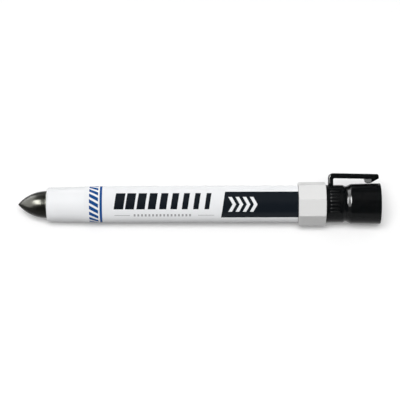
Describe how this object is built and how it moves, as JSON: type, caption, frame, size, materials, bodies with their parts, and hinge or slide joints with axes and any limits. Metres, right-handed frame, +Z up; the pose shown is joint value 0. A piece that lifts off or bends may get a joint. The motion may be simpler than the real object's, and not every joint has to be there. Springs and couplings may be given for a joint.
{
  "type": "solid paint marker",
  "caption": "Twist-up solid paint marker lying on its side: labelled round barrel, pointed paint stick, octagonal twist knob and a clip cap stored on the knob with its open end to the rear.",
  "frame": {"origin": "on the barrel's axis, at the middle of its straight labelled grip", "axes": "+X along the barrel from the paint tip to the cap, +Z up with the marker lying on one flat of its knob"},
  "size_m": [0.148, 0.0199, 0.0172],
  "materials": {
    "barrel": "satin white moulded plastic",
    "label": "printed white film",
    "paint": "waxy black solid paint",
    "carrier": "natural moulded plastic",
    "nut": "natural acetal",
    "screw": "natural acetal",
    "bush": "moulded plastic",
    "seal": "soft rubber",
    "knob": "satin white moulded plastic",
    "cap": "glossy black moulded plastic",
    "liner": "soft black liner"
  },
  "bodies": {
    "barrel": {"barrel": "barrel", "label_sleeve": "label", "end_bush": "bush", "seal_ring": "seal"},
    "knob": {"twist_knob": "knob", "lead_screw": "screw", "screw_stop": "nut"},
    "carrier": {"paint_stick": "paint", "stick_cup": "carrier", "drive_nut": "nut"},
    "cap": {"cap_shell": "cap", "cap_seal": "liner"},
    "clip": {"pocket_clip": "cap"}
  },
  "joints": [
    {"name": "knob_twist", "type": "hinge", "parent": "barrel", "child": "knob", "pos_m": [0, 0, 0], "axis": [-1, 0, 0], "range_deg": [-899.9, 1756.7]},
    {"name": "stick_advance", "type": "slide", "parent": "barrel", "child": "carrier", "axis": [-1, 0, 0], "range_m": [-0.0125, 0.0244]},
    {"name": "cap_pull", "type": "slide", "parent": "knob", "child": "cap", "axis": [1, 0, 0], "range_m": [0, 0.025]},
    {"name": "clip_flex", "type": "hinge", "parent": "cap", "child": "clip", "pos_m": [0.0519, 0.00531, 0.00358], "axis": [0, -0.5592, 0.829], "range_deg": [0, 6], "stiffness_Nm_per_rad": 0.3}
  ],
  "couplings": [
    {"joint": "stick_advance", "follows": "knob_twist", "m_per_rad": 0.00079577}
  ]
}
